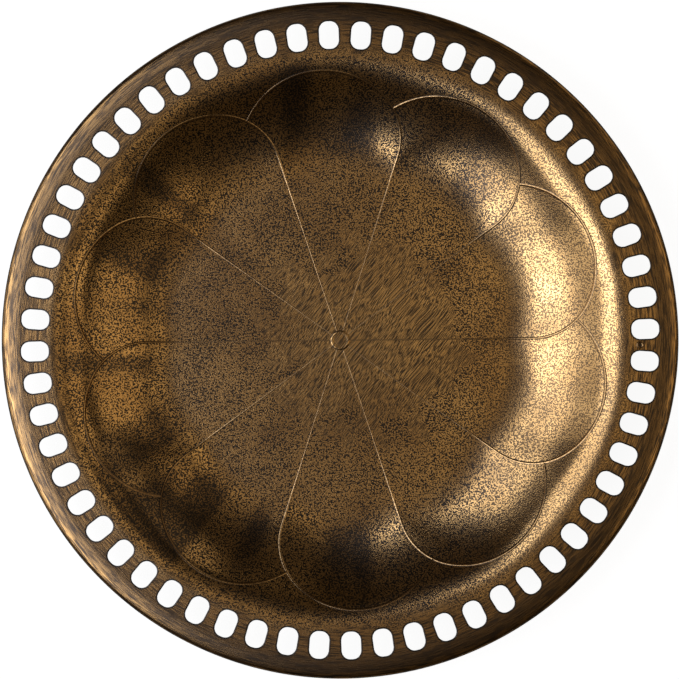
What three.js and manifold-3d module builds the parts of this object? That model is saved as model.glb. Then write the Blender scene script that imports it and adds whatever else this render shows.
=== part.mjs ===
// Pierced brass tray with a scooped well, a slotted flange and a rolled, wired edge.
// Millimetres, +Z up. The origin is on the surface the tray stands on, under its centre.
import * as THREE from 'three';
import { mergeGeometries, mergeVertices } from 'three/addons/utils/BufferGeometryUtils.js';
import Module from 'manifold-3d';

const wasm = await Module();
wasm.setup();

// ---- Driving dimensions ----

const SHEET = 1.0; // thickness of the brass sheet
const GAP = 0.3; // room left between pieces that touch
const SAME_POINT = 0.01; // section points closer than this are one point
const OUTER_RADIUS = 178; // 14 in tray
const RIVET_SEAT_RADIUS = 12; // middle of the base, under the rivet's head and over its washer
const FLAT_RADIUS = 89.5; // flat middle of the base
const STEEPEST_RADIUS = 137; // where the wall stops curving up and starts to level out
const FLANGE_RADIUS = 153; // inner edge of the level flange
const DROOP_RADIUS = 168; // where the rim starts to droop
const WALL_SLOPE = THREE.MathUtils.degToRad(40); // the wall's steepest slope
const DROOP_BEND = 40; // bend radius of the drooping rim, on its upper face
const TURN_STEPS = 80; // facets round the tray
const SMALL_STEPS = 20; // facets round the small pieces

const PETALS = 10;
const SCOOP_FADE_RADIUS = 122; // the scoops start to fade here and are gone at the flange
const RIDGE_SOFT_RADIUS = 96; // the ridges between the scoops start to flatten here
const RIDGE_FLAT_RADIUS = 128; // and are flattest from here on
const RIDGE_SHARP = THREE.MathUtils.degToRad(0.5); // rounding of a ridge where it is sharpest
const RIDGE_ROUND = THREE.MathUtils.degToRad(9); // extra rounding, on each side, where it is flattest

const SLOTS = 60;
const SLOT_RING_RADIUS = 160.4;
const SLOT_LENGTH = 14.5; // along the radius
const SLOT_WIDTH = 10.3; // along the ring
const SLOT_CORNER = 4.5;
const CORNER_STEPS = 3; // facets in each corner of a slot
const FIRST_SLOT = THREE.MathUtils.degToRad(1.5); // turn of the first slot from +X
const PUNCH_REACH = 2; // how far the slot punch stands past both faces of the sheet

const WIRE_RADIUS = 1.2;
const WIRE_STEPS = 6; // facets round the wire's own section
const CURL_END = THREE.MathUtils.degToRad(290); // the curl stops here, clockwise from straight up

const PAD_RADIUS = 10;
const PAD_HEIGHT = 3;
const PAD_RING_RADIUS = 58;
const PAD_COUNT = 4;
const FIRST_PAD = Math.PI / 4;

const RIVET_HOLE_RADIUS = 2.3;
const SHANK_RADIUS = RIVET_HOLE_RADIUS - GAP;
const HEAD_RADIUS = 5.3;
const HEAD_EDGE = 0.35; // thickness of the head at its edge
const HEAD_RIM_RADIUS = 4.6; // crest of the head's raised rim
const HEAD_RIM_RISE = 0.75; // crest above the head's underside
const HEAD_DISH_RADIUS = 3.2; // foot of the rim inside
const HEAD_DISH_RISE = 0.55;
const HEAD_CROWN_RISE = 0.7; // middle of the head
const TAIL_RADIUS = 3.4;
const TAIL_THICKNESS = 0.8;
const TAIL_FLAT_RADIUS = 2.4; // flat end of the tail, inside its chamfer
const WASHER_RADIUS = 5;
const WASHER_THICKNESS = 0.7;

// ---- Derived dimensions ----

const BASE_UNDER = PAD_HEIGHT + GAP;
const BASE_TOP = BASE_UNDER + SHEET;
const BOWL_BEND = (STEEPEST_RADIUS - FLAT_RADIUS) / Math.sin(WALL_SLOPE);
const SHOULDER_BEND = (FLANGE_RADIUS - STEEPEST_RADIUS) / Math.sin(WALL_SLOPE);
const WELL_DEPTH = (BOWL_BEND + SHOULDER_BEND) * (1 - Math.cos(WALL_SLOPE));
const FLANGE_TOP = BASE_TOP + WELL_DEPTH;
const CURL_INNER = WIRE_RADIUS + GAP;
const CURL_OUTER = CURL_INNER + SHEET;
const CURL_CENTRE_RADIUS = OUTER_RADIUS - CURL_OUTER;
const DROOP_TO_CURL = DROOP_BEND - CURL_OUTER; // between the centres of the two bends
const DROOP_END = Math.asin((CURL_CENTRE_RADIUS - DROOP_RADIUS) / DROOP_TO_CURL);
const CURL_CENTRE_HEIGHT = FLANGE_TOP - DROOP_BEND + DROOP_TO_CURL * Math.cos(DROOP_END);

// ---- Materials ----

function metal(color, roughness) {
  return new THREE.MeshStandardMaterial({ color, roughness, metalness: 1 });
}

const antiqueBrass = metal(0x8a6a3e, 0.4);
const rivetBrass = metal(0x7c5f38, 0.45);
const wireBrass = metal(0x6b5232, 0.5);
const felt = new THREE.MeshStandardMaterial({ color: 0x2c211a, roughness: 0.95, metalness: 0 });

// ---- The tray's section ----

// The section is a run of bends from the middle outwards: bowl, shoulder, droop, and the curl in two
// parts that meet at the widest point. Each is drawn on the sheet's upper and on its lower face.
// Angles turn clockwise from straight up, as seen with the tray's axis on the left.
const BENDS = [
  {
    centre: [FLAT_RADIUS, BASE_TOP + BOWL_BEND],
    upper: BOWL_BEND,
    lower: BOWL_BEND + SHEET,
    from: Math.PI,
    to: Math.PI - WALL_SLOPE,
    steps: 5,
  },
  {
    centre: [FLANGE_RADIUS, FLANGE_TOP - SHOULDER_BEND],
    upper: SHOULDER_BEND,
    lower: SHOULDER_BEND - SHEET,
    from: -WALL_SLOPE,
    to: 0,
    steps: 3,
  },
  {
    centre: [DROOP_RADIUS, FLANGE_TOP - DROOP_BEND],
    upper: DROOP_BEND,
    lower: DROOP_BEND - SHEET,
    from: 0,
    to: DROOP_END,
    steps: 2,
  },
  {
    centre: [CURL_CENTRE_RADIUS, CURL_CENTRE_HEIGHT],
    upper: CURL_OUTER,
    lower: CURL_INNER,
    from: DROOP_END,
    to: Math.PI / 2,
    steps: 2,
  },
  {
    centre: [CURL_CENTRE_RADIUS, CURL_CENTRE_HEIGHT],
    upper: CURL_OUTER,
    lower: CURL_INNER,
    from: Math.PI / 2,
    to: CURL_END,
    steps: 4,
  },
];

function bendPoints(bend, radius) {
  const points = [];
  for (let i = 0; i <= bend.steps; i += 1) {
    const angle = THREE.MathUtils.lerp(bend.from, bend.to, i / bend.steps);
    const out = bend.centre[0] + radius * Math.sin(angle);
    const up = bend.centre[1] + radius * Math.cos(angle);
    points.push(new THREE.Vector2(out, up));
  }
  return points;
}

// One face of the section, from the rivet hole over the rivet's seat to the end of the curl. Where two
// bends meet, their common point is kept once. Between bends that don't meet, the face is level.
function facePoints(startHeight, face) {
  const points = [
    new THREE.Vector2(RIVET_HOLE_RADIUS, startHeight),
    new THREE.Vector2(RIVET_SEAT_RADIUS, startHeight),
  ];
  for (const bend of BENDS) {
    for (const point of bendPoints(bend, bend[face])) {
      const last = points[points.length - 1];
      if (last.distanceTo(point) > SAME_POINT) {
        points.push(point);
      }
    }
  }
  return points;
}

function traySection() {
  const upper = facePoints(BASE_TOP, 'upper');
  const lower = facePoints(BASE_UNDER, 'lower').reverse();
  return [...upper, ...lower, upper[0].clone()].reverse();
}

// Height of the sheet's upper face above the base at a distance from the axis, before scooping.
function wallHeight(distance) {
  if (distance <= FLAT_RADIUS) {
    return 0;
  }
  if (distance <= STEEPEST_RADIUS) {
    return BOWL_BEND - Math.sqrt(BOWL_BEND ** 2 - (distance - FLAT_RADIUS) ** 2);
  }
  if (distance <= FLANGE_RADIUS) {
    return WELL_DEPTH - SHOULDER_BEND + Math.sqrt(SHOULDER_BEND ** 2 - (FLANGE_RADIUS - distance) ** 2);
  }
  return WELL_DEPTH;
}

// In a scoop every level line is an arc of the circle that has the petal's middle line as its
// diameter, so the wall there has the height it would have at distance / cos(turn from that line).
// Over the last stretch of the turn the slope of 1 / cos falls evenly to nothing at the ridge.
function scoopReach(distance, turn) {
  const soft = THREE.MathUtils.smoothstep(distance, RIDGE_SOFT_RADIUS, RIDGE_FLAT_RADIUS);
  const width = RIDGE_SHARP + RIDGE_ROUND * soft;
  const kept = Math.min(Math.abs(turn), Math.PI / PETALS - width);
  const over = Math.abs(turn) - kept;
  const slope = Math.sin(kept) / Math.cos(kept) ** 2;
  return 1 / Math.cos(kept) + slope * (over - over ** 2 / (2 * width));
}

function scoopRise(distance, angle) {
  const pitch = (2 * Math.PI) / PETALS;
  const turn = THREE.MathUtils.euclideanModulo(angle, pitch) - pitch / 2;
  const strength = 1 - THREE.MathUtils.smoothstep(distance, SCOOP_FADE_RADIUS, FLANGE_RADIUS);
  const reach = distance * (1 + strength * (scoopReach(distance, turn) - 1));
  return wallHeight(reach) - wallHeight(distance);
}

function scoop(geometry) {
  const position = geometry.getAttribute('position');
  for (let i = 0; i < position.count; i += 1) {
    const x = position.getX(i);
    const y = position.getY(i);
    const rise = scoopRise(Math.hypot(x, y), Math.atan2(y, x));
    position.setZ(i, position.getZ(i) + rise);
  }
  return geometry;
}

// ---- Solids ----

// A section turned about the Z axis.
function turned(points, steps) {
  return new THREE.LatheGeometry(points, steps).rotateX(Math.PI / 2);
}

function toSolid(geometry) {
  const bare = geometry.clone();
  bare.deleteAttribute('normal');
  bare.deleteAttribute('uv');
  const merged = mergeVertices(bare);
  const vertProperties = new Float32Array(merged.getAttribute('position').array);
  const triVerts = new Uint32Array(merged.getIndex().array);
  return new wasm.Manifold(new wasm.Mesh({ numProp: 3, vertProperties, triVerts }));
}

function toGeometry(solid) {
  const mesh = solid.getMesh();
  const geometry = new THREE.BufferGeometry();
  geometry.setAttribute('position', new THREE.BufferAttribute(mesh.vertProperties, mesh.numProp));
  geometry.setIndex(new THREE.BufferAttribute(mesh.triVerts, 1));
  geometry.computeVertexNormals();
  return geometry;
}

// A slot lies with its length along the radius and has four round corners.
function slotShape() {
  const straightX = SLOT_LENGTH / 2 - SLOT_CORNER;
  const straightY = SLOT_WIDTH / 2 - SLOT_CORNER;
  const corners = [[1, 1], [-1, 1], [-1, -1], [1, -1]];
  const outline = corners.flatMap(([sideX, sideY], quarter) => {
    const points = [];
    for (let i = 0; i <= CORNER_STEPS; i += 1) {
      const angle = (quarter + i / CORNER_STEPS) * (Math.PI / 2);
      const x = sideX * straightX + SLOT_CORNER * Math.cos(angle);
      const y = sideY * straightY + SLOT_CORNER * Math.sin(angle);
      points.push(new THREE.Vector2(x, y));
    }
    return points;
  });
  return new THREE.Shape(outline);
}

function slotPunches() {
  const depth = SHEET + 2 * PUNCH_REACH;
  const punch = new THREE.ExtrudeGeometry(slotShape(), { depth, bevelEnabled: false });
  punch.translate(SLOT_RING_RADIUS, 0, FLANGE_TOP - SHEET - PUNCH_REACH);
  const punches = [];
  for (let i = 0; i < SLOTS; i += 1) {
    punches.push(punch.clone().rotateZ(FIRST_SLOT + (i * 2 * Math.PI) / SLOTS));
  }
  return mergeGeometries(punches);
}

function trayBody() {
  const pressed = toSolid(scoop(turned(traySection(), TURN_STEPS)));
  const pierced = pressed.subtract(toSolid(slotPunches()));
  return new THREE.Mesh(toGeometry(pierced), antiqueBrass);
}

function rimWire() {
  const wire = new THREE.Mesh(
    new THREE.TorusGeometry(CURL_CENTRE_RADIUS, WIRE_RADIUS, WIRE_STEPS, TURN_STEPS),
    wireBrass,
  );
  wire.position.z = CURL_CENTRE_HEIGHT;
  return wire;
}

// The head is a low dished button with a raised rim. The tail is bucked over the washer.
function centreRivet() {
  const headUnder = BASE_TOP + GAP;
  const tailTop = BASE_UNDER - 2 * GAP - WASHER_THICKNESS;
  const section = [
    [0, tailTop - TAIL_THICKNESS],
    [TAIL_FLAT_RADIUS, tailTop - TAIL_THICKNESS],
    [TAIL_RADIUS, tailTop - TAIL_THICKNESS / 2],
    [TAIL_RADIUS, tailTop],
    [SHANK_RADIUS, tailTop],
    [SHANK_RADIUS, headUnder],
    [HEAD_RADIUS, headUnder],
    [HEAD_RADIUS, headUnder + HEAD_EDGE],
    [HEAD_RIM_RADIUS, headUnder + HEAD_RIM_RISE],
    [HEAD_DISH_RADIUS, headUnder + HEAD_DISH_RISE],
    [0, headUnder + HEAD_CROWN_RISE],
  ];
  const points = section.map(([out, up]) => new THREE.Vector2(out, up));
  return new THREE.Mesh(turned(points, SMALL_STEPS), rivetBrass);
}

function rivetWasher() {
  const top = BASE_UNDER - GAP;
  const section = [
    [RIVET_HOLE_RADIUS, top - WASHER_THICKNESS],
    [WASHER_RADIUS, top - WASHER_THICKNESS],
    [WASHER_RADIUS, top],
    [RIVET_HOLE_RADIUS, top],
    [RIVET_HOLE_RADIUS, top - WASHER_THICKNESS],
  ];
  const points = section.map(([out, up]) => new THREE.Vector2(out, up));
  return new THREE.Mesh(turned(points, SMALL_STEPS), rivetBrass);
}

function feltPad(index) {
  const angle = FIRST_PAD + (index * 2 * Math.PI) / PAD_COUNT;
  const disc = new THREE.CylinderGeometry(PAD_RADIUS, PAD_RADIUS, PAD_HEIGHT, SMALL_STEPS);
  const pad = new THREE.Mesh(disc.rotateX(Math.PI / 2), felt);
  pad.position.set(
    PAD_RING_RADIUS * Math.cos(angle),
    PAD_RING_RADIUS * Math.sin(angle),
    PAD_HEIGHT / 2,
  );
  return pad;
}

// ---- Assembly ----

function named(name, mesh) {
  mesh.name = name;
  return mesh;
}

const tray = new THREE.Group();
tray.add(named('tray_body', trayBody()));
tray.add(named('rim_wire', rimWire()));
tray.add(named('centre_rivet', centreRivet()));
tray.add(named('rivet_washer', rivetWasher()));
for (let i = 0; i < PAD_COUNT; i += 1) {
  tray.add(named(`felt_pad_${i + 1}`, feltPad(i)));
}

export default tray;
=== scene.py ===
"""Antique brass tray: a pierced flange, a scooped well with ten overlapping petals, and a rolled rim.

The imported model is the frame. Every piece here stands for the CAD node of the same place and size and
is worked out from that node's box. Lengths are in metres, +Z is up.
"""

from __future__ import annotations

import logging
import math
from dataclasses import dataclass
from enum import Enum
from typing import Sequence, Union

import bmesh
import bpy
import numpy as np
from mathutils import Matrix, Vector

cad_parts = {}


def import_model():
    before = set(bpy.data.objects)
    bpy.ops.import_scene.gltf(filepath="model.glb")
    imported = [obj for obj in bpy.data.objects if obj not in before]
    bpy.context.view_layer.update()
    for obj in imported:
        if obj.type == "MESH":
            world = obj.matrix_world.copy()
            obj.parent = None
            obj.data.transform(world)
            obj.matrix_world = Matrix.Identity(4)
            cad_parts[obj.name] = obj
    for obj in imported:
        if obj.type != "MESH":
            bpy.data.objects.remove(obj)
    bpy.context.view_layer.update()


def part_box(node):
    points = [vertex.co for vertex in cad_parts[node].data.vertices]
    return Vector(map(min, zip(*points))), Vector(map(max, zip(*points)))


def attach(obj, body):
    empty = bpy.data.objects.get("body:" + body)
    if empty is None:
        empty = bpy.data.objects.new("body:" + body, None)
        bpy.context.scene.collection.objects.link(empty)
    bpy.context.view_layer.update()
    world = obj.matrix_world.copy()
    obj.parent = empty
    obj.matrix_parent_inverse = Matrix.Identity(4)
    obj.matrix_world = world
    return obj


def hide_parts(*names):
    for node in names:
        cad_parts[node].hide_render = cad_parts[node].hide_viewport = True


LOG = logging.getLogger("brass_tray")
MM = 0.001
ROOT = "root"
MERGE_DISTANCE = 1e-6
LAID_ON = 0.03 * MM  # how far pieces that lie on the sheet start above it
# Point attribute of dark marks: patina, and the painted shade round the slots.
PATINA = "patina"

Colour = tuple[float, float, float, float]
Edges = tuple[float, float, float, float]
Span = tuple[float, float]
Array = np.ndarray
Material = bpy.types.Material
Object = bpy.types.Object
Socket = bpy.types.NodeSocket
Tree = bpy.types.NodeTree
Feed = Union[Socket, float, Sequence[float]]
Values = Union[Array, float]


# ---- Mesh helpers ----


@dataclass
class Patch:
    """A grid of points with its quads.

    Attributes:
        points: Array of shape (rows, columns, 3).
        wrap: Whether the last column joins the first one.
        patina: How dark the patina, or the painted shade round the slots, is at each point, from 0 to 1:
            one number, one for each row or for each column, or an array of shape (rows, columns).
    """

    points: Array
    wrap: bool = True
    patina: Values = 0.0

    def quads(self) -> Array:
        """Numbers the points row by row and joins each one to its neighbours.

        Returns:
            Corner numbers of every quad, shape (n, 4).
        """
        rows, columns = self.points.shape[:2]
        number = np.arange(rows * columns).reshape(rows, columns)
        if self.wrap:
            number = np.concatenate([number, number[:, :1]], axis=1)
        corners = [number[:-1, :-1], number[:-1, 1:], number[1:, 1:], number[1:, :-1]]
        return np.stack([corner.ravel() for corner in corners], axis=1)


def mesh_object(name: str, patches: Sequence[Patch]) -> Object:
    """Joins grids into one mesh whose common edges are merged and whose faces point outwards.

    Args:
        name: Name of the new object.
        patches: The grids, which meet at equal points.

    Returns:
        The new object, at the origin, linked to the scene.
    """
    starts = np.cumsum([0] + [patch.points[..., 0].size for patch in patches[:-1]])
    points = np.concatenate([patch.points.reshape(-1, 3) for patch in patches])
    quads = np.concatenate([patch.quads() + start for patch, start in zip(patches, starts)])
    mesh = bpy.data.meshes.new(name)
    mesh.from_pydata(points.tolist(), [], quads.tolist())
    patina = np.concatenate([np.broadcast_to(p.patina, p.points.shape[:2]).ravel() for p in patches])
    layer = mesh.attributes.new(PATINA, "FLOAT", "POINT")
    layer.data.foreach_set("value", patina.astype(np.float32))
    work = bmesh.new()
    work.from_mesh(mesh)
    bmesh.ops.remove_doubles(work, verts=work.verts, dist=MERGE_DISTANCE)
    bmesh.ops.dissolve_degenerate(work, edges=work.edges, dist=MERGE_DISTANCE)
    bmesh.ops.recalc_face_normals(work, faces=work.faces)
    work.to_mesh(mesh)
    work.free()
    mesh.polygons.foreach_set("use_smooth", np.full(len(mesh.polygons), True))
    mesh.update()
    made = bpy.data.objects.new(name, mesh)
    bpy.context.scene.collection.objects.link(made)
    return made


def even_turns(count: int) -> Array:
    """Angles of even steps round an axis, from 0."""
    return np.arange(count) * (2 * math.pi / count)


def rotated(x: Values, y: Values, turn: float) -> tuple[Values, Values]:
    """The points (x, y) turned about the origin."""
    return x * math.cos(turn) - y * math.sin(turn), x * math.sin(turn) + y * math.cos(turn)


def turned(section: Array, steps: int, centre: Span = (0.0, 0.0)) -> Array:
    """Turns a section about an upright axis: (r, z) goes to (centre + r (cos a, sin a), z) for each a.

    Args:
        section: Array of shape (rows, 2) of distance from the axis and height.
        steps: Number of columns round the axis.
        centre: Where the axis stands.

    Returns:
        Array of shape (rows, steps, 3).
    """
    angle = even_turns(steps)
    out = section[:, :1]
    up = np.broadcast_to(section[:, 1:], (len(section), steps))
    return np.stack([centre[0] + out * np.cos(angle), centre[1] + out * np.sin(angle), up], axis=2)


def arc(centre: Sequence[float], radius: float, start: float, end: float, steps: int) -> Array:
    """Points on an arc: centre + radius (sin a, cos a), with a turning clockwise from straight up.

    Args:
        centre: Centre of the arc.
        radius: Its radius.
        start: First angle.
        end: Last angle.
        steps: Number of stretches between the points.

    Returns:
        Array of shape (steps + 1, 2).
    """
    angle = np.linspace(start, end, steps + 1)
    return np.stack([centre[0] + radius * np.sin(angle), centre[1] + radius * np.cos(angle)], axis=1)


def smoothstep(value: Array, low: float, high: float) -> Array:
    """Rises from 0 at low to 1 at high as 3 t^2 - 2 t^3."""
    t = np.clip((value - low) / (high - low), 0.0, 1.0)
    return t * t * (3 - 2 * t)


# ---- The tray's shape ----


@dataclass(frozen=True)
class TrayShape:
    """The pressed sheet as a height over the plan, with the sizes that its pieces share.

    Attributes:
        outer, base_under, top: Radius of the edge and heights of the base's underside and the flange.
        flat, steepest, flange, droop: Radii where the base, lower wall, upper wall and flange end.
        droop_bend: Bend radius of the drooping rim.
        sheet, wire, clearance: Thickness of the sheet, radius of the wire, room between it and the curl.
        petals: Number of petals and scoops.
        scoop_fade: Where the scoops start to fade.
        ridge_soft, ridge_flat: Where the ridges between them start to flatten, and are flattest.
        ridge_sharp, ridge_turn: Turn over which a sharp ridge is rounded, and what a flat one adds.
        slope_step: Half the distance over which the wall's slope is taken.
    """

    outer: float
    base_under: float
    top: float
    flat: float = 89.5 * MM
    steepest: float = 137.0 * MM
    flange: float = 153.0 * MM
    droop: float = 168.0 * MM
    droop_bend: float = 40.0 * MM
    sheet: float = 1.0 * MM
    petals: int = 10
    scoop_fade: float = 122.0 * MM
    ridge_soft: float = 96.0 * MM
    ridge_flat: float = 128.0 * MM
    ridge_sharp: float = math.radians(0.5)
    ridge_turn: float = math.radians(9)
    wire: float = 1.2 * MM
    clearance: float = 0.3 * MM
    slope_step: float = 0.01 * MM

    @classmethod
    def from_frame(cls) -> "TrayShape":
        """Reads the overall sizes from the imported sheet's box."""
        low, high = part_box("tray_body")
        return cls(outer=high.x, base_under=low.z, top=high.z)

    @property
    def base_top(self) -> float:
        """Height of the base's upper face."""
        return self.base_under + self.sheet

    @property
    def depth(self) -> float:
        """Rise from the base to the flange."""
        return self.top - self.base_top

    @property
    def slope_sine(self) -> float:
        """Sine of the wall's steepest slope.

        Two bends of radii (run / sine) that turn by the same angle climb (run / sine)(1 - cosine) each,
        so rise / run = tan(angle / 2) for both together.
        """
        half = math.atan(self.depth / (self.flange - self.flat))
        return math.sin(2 * half)

    @property
    def bowl_bend(self) -> float:
        """Bend radius of the lower wall."""
        return (self.steepest - self.flat) / self.slope_sine

    @property
    def shoulder_bend(self) -> float:
        """Bend radius of the upper wall."""
        return (self.flange - self.steepest) / self.slope_sine

    def rise(self, distance: Array) -> Array:
        """Height over the base at a distance: flat, bowl bend, shoulder bend, flange, droop.

        Args:
            distance: Distance from the axis.

        Returns:
            The height, of the same shape.
        """
        bowl = np.clip(distance - self.flat, 0, self.steepest - self.flat)
        shoulder = np.clip(self.flange - distance, 0, self.flange - self.steepest)
        droop = np.clip(distance - self.droop, 0, self.droop_bend)
        lower = self.bowl_bend - np.sqrt(self.bowl_bend**2 - bowl**2)
        upper = self.depth - self.shoulder_bend + np.sqrt(self.shoulder_bend**2 - shoulder**2)
        fall = self.droop_bend - np.sqrt(self.droop_bend**2 - droop**2)
        return np.where(distance < self.steepest, lower, upper) - fall

    def scoop(self, turn: Array, distance: Array) -> Array:
        """Share by which a scoop lengthens the reach: 1 / cos(turn) - 1, rounded off towards the ridge.

        Over the last stretch of the turn the slope of that curve falls evenly to nothing at the ridge.

        Args:
            turn: Turn from the petal's middle line.
            distance: Distance from the axis.

        Returns:
            The share, of the same shape.
        """
        soft = smoothstep(distance, self.ridge_soft, self.ridge_flat)
        width = self.ridge_sharp + self.ridge_turn * soft
        start = math.pi / self.petals - width
        kept = np.minimum(np.abs(turn), start)
        over = np.abs(turn) - kept
        return 1 / np.cos(kept) - 1 + np.sin(kept) / np.cos(kept) ** 2 * (over - over**2 / (2 * width))

    def height(self, x: Array, y: Array) -> Array:
        """Height of the sheet's upper face over a point of the plan.

        Inside a scoop every level line is an arc of the circle whose diameter is the petal's middle line,
        so the wall has the height that it would have at distance / cos(turn from that line).

        Args:
            x: Place in plan along X.
            y: Place in plan along Y.

        Returns:
            The height, of the same shape.
        """
        distance = np.hypot(x, y)
        pitch = 2 * math.pi / self.petals
        turn = np.mod(np.arctan2(y, x), pitch) - pitch / 2
        strength = 1 - smoothstep(distance, self.scoop_fade, self.flange)
        reach = distance * (1 + strength * self.scoop(turn, distance))
        return self.base_top + self.rise(np.where(distance < self.flange, reach, distance))

    def under_height(self, x: Array, y: Array) -> Array:
        """Height of the sheet's lower face: the upper face less thickness / cos(slope).

        The slope is the difference of the rise a little further out and a little further in.

        Args:
            x: Place in plan along X.
            y: Place in plan along Y.

        Returns:
            The height, of the same shape.
        """
        distance = np.hypot(x, y)
        step = self.slope_step
        slope = (self.rise(distance + step) - self.rise(distance - step)) / (2 * step)
        return self.height(x, y) - self.sheet * np.sqrt(1 + slope**2)


@dataclass
class TraySheet:
    """The pressed, pierced and rolled brass sheet.

    Attributes:
        shape: The tray's shape.
        columns: Number of grid columns round the tray.
        slots, first_slot, slot_ring: Number of slots, turn of the first, radius of their centres.
        slot_length, slot_width, slot_corner: Size along the radius and the ring, and corner radius.
        edge_round: Radius to which the slots' edges are worn.
        slot_shade, slot_shade_fade: Widths of the painted shade round a slot's edge and of its fading.
        cell_inner, cell_outer: Edges of the ring of cells that hold the slots.
        curl_end: Where the curl stops, clockwise from straight up.
        hole: Radius of the hole for the rivet.
        radial_steps: Number of grid stretches along a cell's radial sides.
        cell_shares: Rings from a cell's edge to its slot, as shares of the way.
        hole_shares, base_shares: Grid radii as shares of the hole's and the base's.
    """

    shape: TrayShape
    columns: int = 720
    slots: int = 60
    slot_ring: float = 160.4 * MM
    slot_length: float = 14.5 * MM
    slot_width: float = 10.3 * MM
    slot_corner: float = 4.5 * MM
    first_slot: float = math.radians(1.5)
    edge_round: float = 0.35 * MM
    slot_shade: float = 0.6 * MM
    slot_shade_fade: float = 0.4 * MM
    cell_inner: float = 151.8 * MM
    cell_outer: float = 169.2 * MM
    curl_end: float = math.radians(290)
    hole: float = 2.3 * MM
    radial_steps: int = 8
    cell_shares: tuple[float, ...] = (0, 0.5, 0.9, 1)
    hole_shares: tuple[float, ...] = (1, 2.2)
    base_shares: tuple[float, ...] = (0.2, 0.6, 0.93)

    def well(self, radii: Array, upper: bool) -> Patch:
        """One face of the well: the height function on a grid of radius and angle.

        Args:
            radii: Distances of the rows from the axis.
            upper: Whether it is the upper face.

        Returns:
            The grid.
        """
        flat = turned(np.stack([radii, np.zeros_like(radii)], axis=1), self.columns)
        rule = self.shape.height if upper else self.shape.under_height
        flat[..., 2] = rule(flat[..., 0], flat[..., 1])
        return Patch(flat)

    def well_radii(self, bowl_steps: int, shoulder_steps: int) -> Array:
        """Grid radii: a few on the flat base, then even steps over each bend.

        Args:
            bowl_steps: Number of stretches over the lower bend.
            shoulder_steps: Number of rows over the upper bend.

        Returns:
            The radii, shape (n,).
        """
        shape = self.shape
        hole = self.hole * np.array(self.hole_shares)
        base = shape.flat * np.array(self.base_shares)
        bowl = np.linspace(shape.flat, shape.steepest, bowl_steps, endpoint=False)
        shoulder = np.linspace(shape.steepest, self.cell_inner, shoulder_steps)
        return np.concatenate([hole, base, bowl, shoulder])

    def slot_outline(self, grow: float) -> Array:
        """A slot's outline moved outwards by a distance, about the slot's own centre.

        The outline is a rectangle with round corners. Each of its four sides runs from the middle of one
        corner to the middle of the next, over half an arc, a straight and half an arc, in even steps.

        Args:
            grow: How far the outline is moved outwards.

        Returns:
            Array of shape (points, 2), x along the radius, counter-clockwise from the corner at (-x, -y).
        """
        radius = self.slot_corner + grow
        half_x = self.slot_length / 2 - self.slot_corner
        half_y = self.slot_width / 2 - self.slot_corner
        across = self.columns // self.slots
        sides = []
        for quarter, steps in enumerate((self.radial_steps, across, self.radial_steps, across)):
            straight = half_x if quarter % 2 == 0 else half_y
            offset = half_y if quarter % 2 == 0 else half_x
            bend = radius * math.pi / 4
            total = 2 * (bend + straight)
            along = np.arange(steps) * (total / steps) - total / 2
            over = np.clip(np.abs(along) - straight, 0, None) / radius
            x = np.sign(along) * (np.minimum(np.abs(along), straight) + radius * np.sin(over))
            y = -(offset + radius * np.cos(over))
            sides.append(np.stack(rotated(x, y, quarter * math.pi / 2), axis=1))
        return np.concatenate(sides)

    def cell_boundary(self) -> Array:
        """The edge of one slot's cell, point for point opposite the outline, in the slot's own frame.

        Two sides are radial lines half way to the next slots, and two are arcs about the tray's axis.

        Returns:
            Array of shape (points, 2).
        """
        half = math.pi / self.slots
        across = self.columns // self.slots
        out = np.linspace(self.cell_inner, self.cell_outer, self.radial_steps, endpoint=False)
        back = np.linspace(self.cell_outer, self.cell_inner, self.radial_steps, endpoint=False)
        swing = np.linspace(-half, half, across, endpoint=False)
        level, upright = np.ones(across), np.ones(self.radial_steps)
        radius = np.concatenate([out, self.cell_outer * level, back, self.cell_inner * level])
        angle = np.concatenate([-half * upright, swing, half * upright, -swing])
        return np.stack([radius * np.cos(angle) - self.slot_ring, radius * np.sin(angle)], axis=1)

    def slot_cells(self) -> list[Patch]:
        """The flange with its slots: rings of points from a cell's edge over the slot's wall and back.

        On each face the rings run in straight lines from the cell's edge to the outline. Each rim of the
        slot is a quarter circle, so ring a lies edge_round (1 - sin a) outside the wall and
        edge_round (1 - cos a) below the face.

        Returns:
            One grid for each slot.
        """
        boundary = self.cell_boundary()
        faded = self.slot_outline(self.slot_shade + self.slot_shade_fade)
        bends = np.linspace(0, math.pi / 2, num=4)
        rounding = [self.slot_outline(self.edge_round * (1 - math.sin(angle))) for angle in bends]
        drop = self.edge_round * (1 - np.cos(bends))
        way = [boundary + (faded - boundary) * share for share in self.cell_shares]
        back = [faded, boundary]
        upper_plan = np.stack([*way, self.slot_outline(self.slot_shade), *rounding])
        lower_plan = np.stack([*rounding[::-1], *back])
        upper_drop = np.pad(drop, (len(way) + 1, 0))[:, None]
        lower_drop = np.pad(drop[::-1], (0, len(back)))[:, None]
        # Painted shade: the ring round the slot and its rounded edge are fully dark, fading out over
        # slot_shade_fade.
        dark = np.pad(np.ones(1 + 2 * len(drop)), (len(way), len(back)))[:, None]
        patches = []
        for turn in self.first_slot + even_turns(self.slots):
            over = rotated(upper_plan[..., 0] + self.slot_ring, upper_plan[..., 1], turn)
            under = rotated(lower_plan[..., 0] + self.slot_ring, lower_plan[..., 1], turn)
            upper = np.stack([*over, self.shape.height(*over) - upper_drop], axis=2)
            lower = np.stack([*under, self.shape.under_height(*under) + lower_drop], axis=2)
            patches.append(Patch(np.concatenate([upper, lower]), patina=dark))
        return patches

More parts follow.
